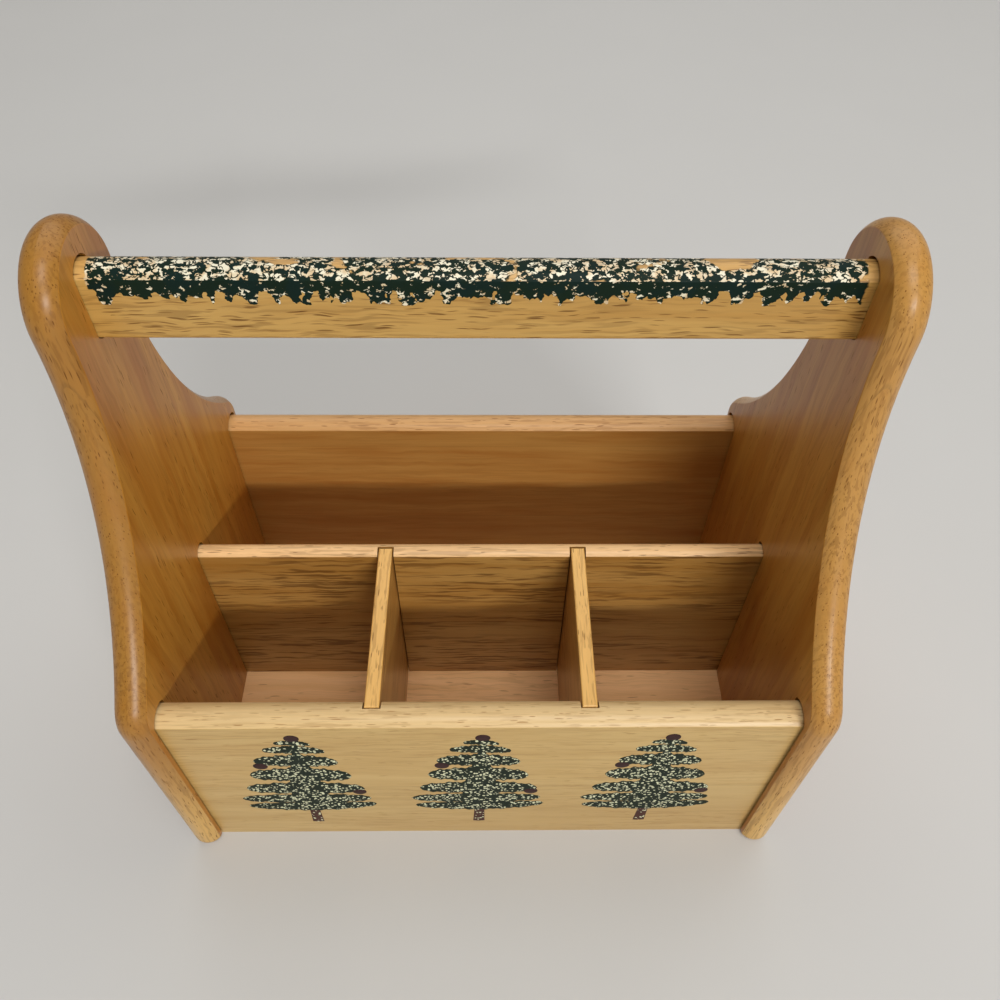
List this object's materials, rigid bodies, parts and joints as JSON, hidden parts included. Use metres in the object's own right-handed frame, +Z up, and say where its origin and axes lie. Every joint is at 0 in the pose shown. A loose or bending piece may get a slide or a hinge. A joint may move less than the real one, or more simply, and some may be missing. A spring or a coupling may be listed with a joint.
{
  "type": "wooden table caddy",
  "caption": "Wooden cutlery and napkin caddy: shaped ends, a fixed carrying bar, open bays behind a front panel, lift-out dividers and a rear slot.",
  "frame": {"origin": "on the table under the middle of the caddy", "axes": "+Z up, +X to the right along the carrying bar, the front panel faces -Y"},
  "size_m": [0.274, 0.1796, 0.2791],
  "materials": {
    "end_wood": "satin lacquer",
    "panel_wood": "satin lacquer",
    "floor_wood": "satin lacquer",
    "divider_wood": "satin lacquer",
    "bar_wood": "satin lacquer with sponged paint"
  },
  "bodies": {
    "caddy": {"left_end_panel": "end_wood", "right_end_panel": "end_wood", "front_panel": "panel_wood", "middle_panel": "panel_wood", "back_panel": "panel_wood", "floor_board": "floor_wood", "carrying_bar": "bar_wood"},
    "left_divider": {"left_divider": "divider_wood"},
    "right_divider": {"right_divider": "divider_wood"}
  },
  "joints": [
    {"name": "left_divider_lift", "type": "slide", "parent": "caddy", "child": "left_divider", "axis": [0, 0, 1], "range_m": [0, 0.105]},
    {"name": "right_divider_lift", "type": "slide", "parent": "caddy", "child": "right_divider", "axis": [0, 0, 1], "range_m": [0, 0.105]}
  ]
}
